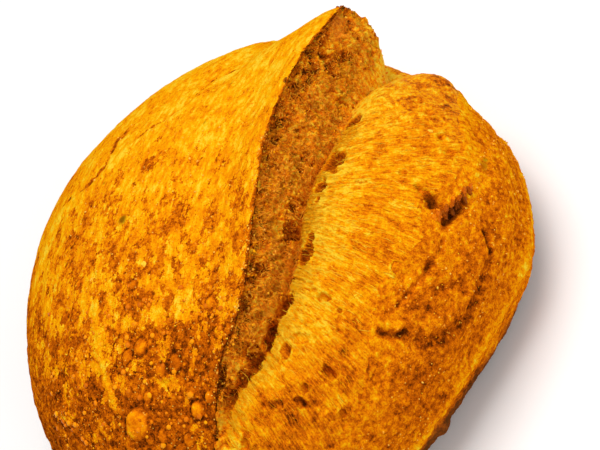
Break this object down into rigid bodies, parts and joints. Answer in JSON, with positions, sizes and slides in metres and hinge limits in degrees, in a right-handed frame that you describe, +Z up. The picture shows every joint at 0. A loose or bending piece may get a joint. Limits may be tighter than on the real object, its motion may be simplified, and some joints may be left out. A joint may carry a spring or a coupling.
{
  "type": "round spelt sourdough loaf",
  "caption": "Round rustic sourdough loaf with a floured, blistered crust and a long score opened into a raised ear beside a torn golden bloom.",
  "frame": {"origin": "middle of the loaf's box, on the flat base it rests on", "axes": "+Z up through the crown, the score runs along X with its tall ear end at +X, the torn bloom faces -Y"},
  "size_m": [0.2378, 0.2368, 0.1154],
  "materials": {
    "crust": "dry baked crust, golden to dark brown, dusted with flour",
    "crumb": "torn, fibrous golden crumb, dry and matt"
  },
  "bodies": {
    "root": {"loaf": "crust"}
  },
  "joints": []
}
